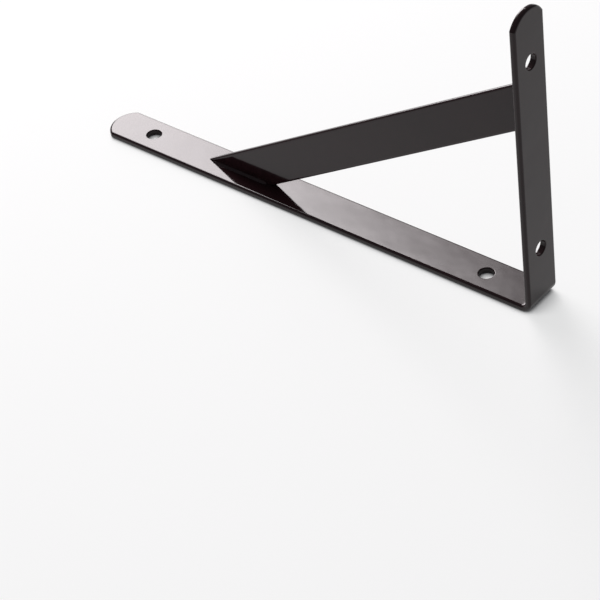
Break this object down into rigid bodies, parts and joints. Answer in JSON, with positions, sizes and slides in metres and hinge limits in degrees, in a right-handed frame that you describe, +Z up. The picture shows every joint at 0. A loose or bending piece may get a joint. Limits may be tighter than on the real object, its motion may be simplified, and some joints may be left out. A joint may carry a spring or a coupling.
{
  "type": "l-shaped shelf bracket",
  "caption": "L-shaped shelf bracket of bent flat bar with unequal arms, rounded tips, plain screw holes and a welded diagonal brace, in gloss black enamel.",
  "frame": {"origin": "centre of the long arm's outer face, on the surface that the bracket stands on, at mid-width of the bar", "axes": "+X along the long arm toward the bend, +Y across the bar, +Z up the short arm"},
  "size_m": [0.25, 0.02, 0.15],
  "materials": {
    "black_enamel": "gloss"
  },
  "bodies": {
    "root": {"angle_bar": "black_enamel", "brace": "black_enamel", "long_arm_weld": "black_enamel", "short_arm_weld": "black_enamel"}
  },
  "joints": []
}
